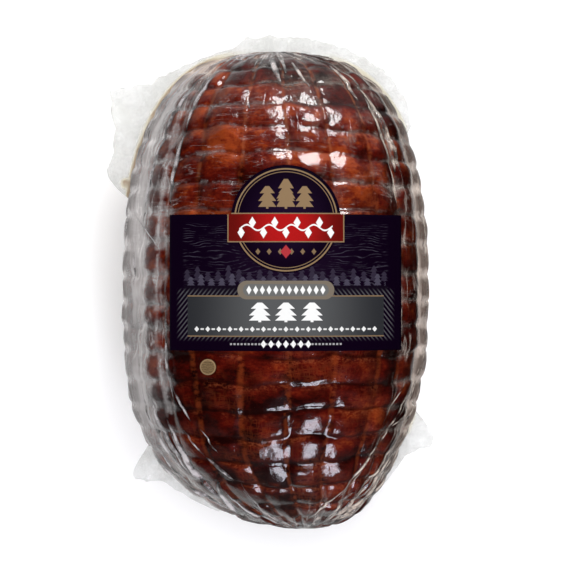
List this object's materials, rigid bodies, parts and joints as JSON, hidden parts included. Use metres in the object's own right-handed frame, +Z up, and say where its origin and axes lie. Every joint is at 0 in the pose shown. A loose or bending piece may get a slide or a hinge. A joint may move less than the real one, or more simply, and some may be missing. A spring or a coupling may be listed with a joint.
{
  "type": "black forest ham",
  "caption": "Whole boneless ham, netted and dark-smoked, vacuum-packed in clear film with ragged film ears, a crested label on top and a small round sticker.",
  "frame": {"origin": "on the small flat face that the ham rests on, below its widest ring", "axes": "+Y along the ham from its leaning, tapered end to its blunt end, +X across it towards the side the tapered tip leans to, +Z up through the label"},
  "size_m": [0.188, 0.2802, 0.1262],
  "materials": {
    "smoked_ham": "smoked meat under tight clear film",
    "clear_film": "thin clear vacuum-bag film",
    "printed_label": "plum-black printed label",
    "tan_paper": "tan printed sticker"
  },
  "bodies": {
    "root": {"ham": "smoked_ham", "film_flange": "clear_film", "label": "printed_label", "round_sticker": "tan_paper"}
  },
  "joints": []
}
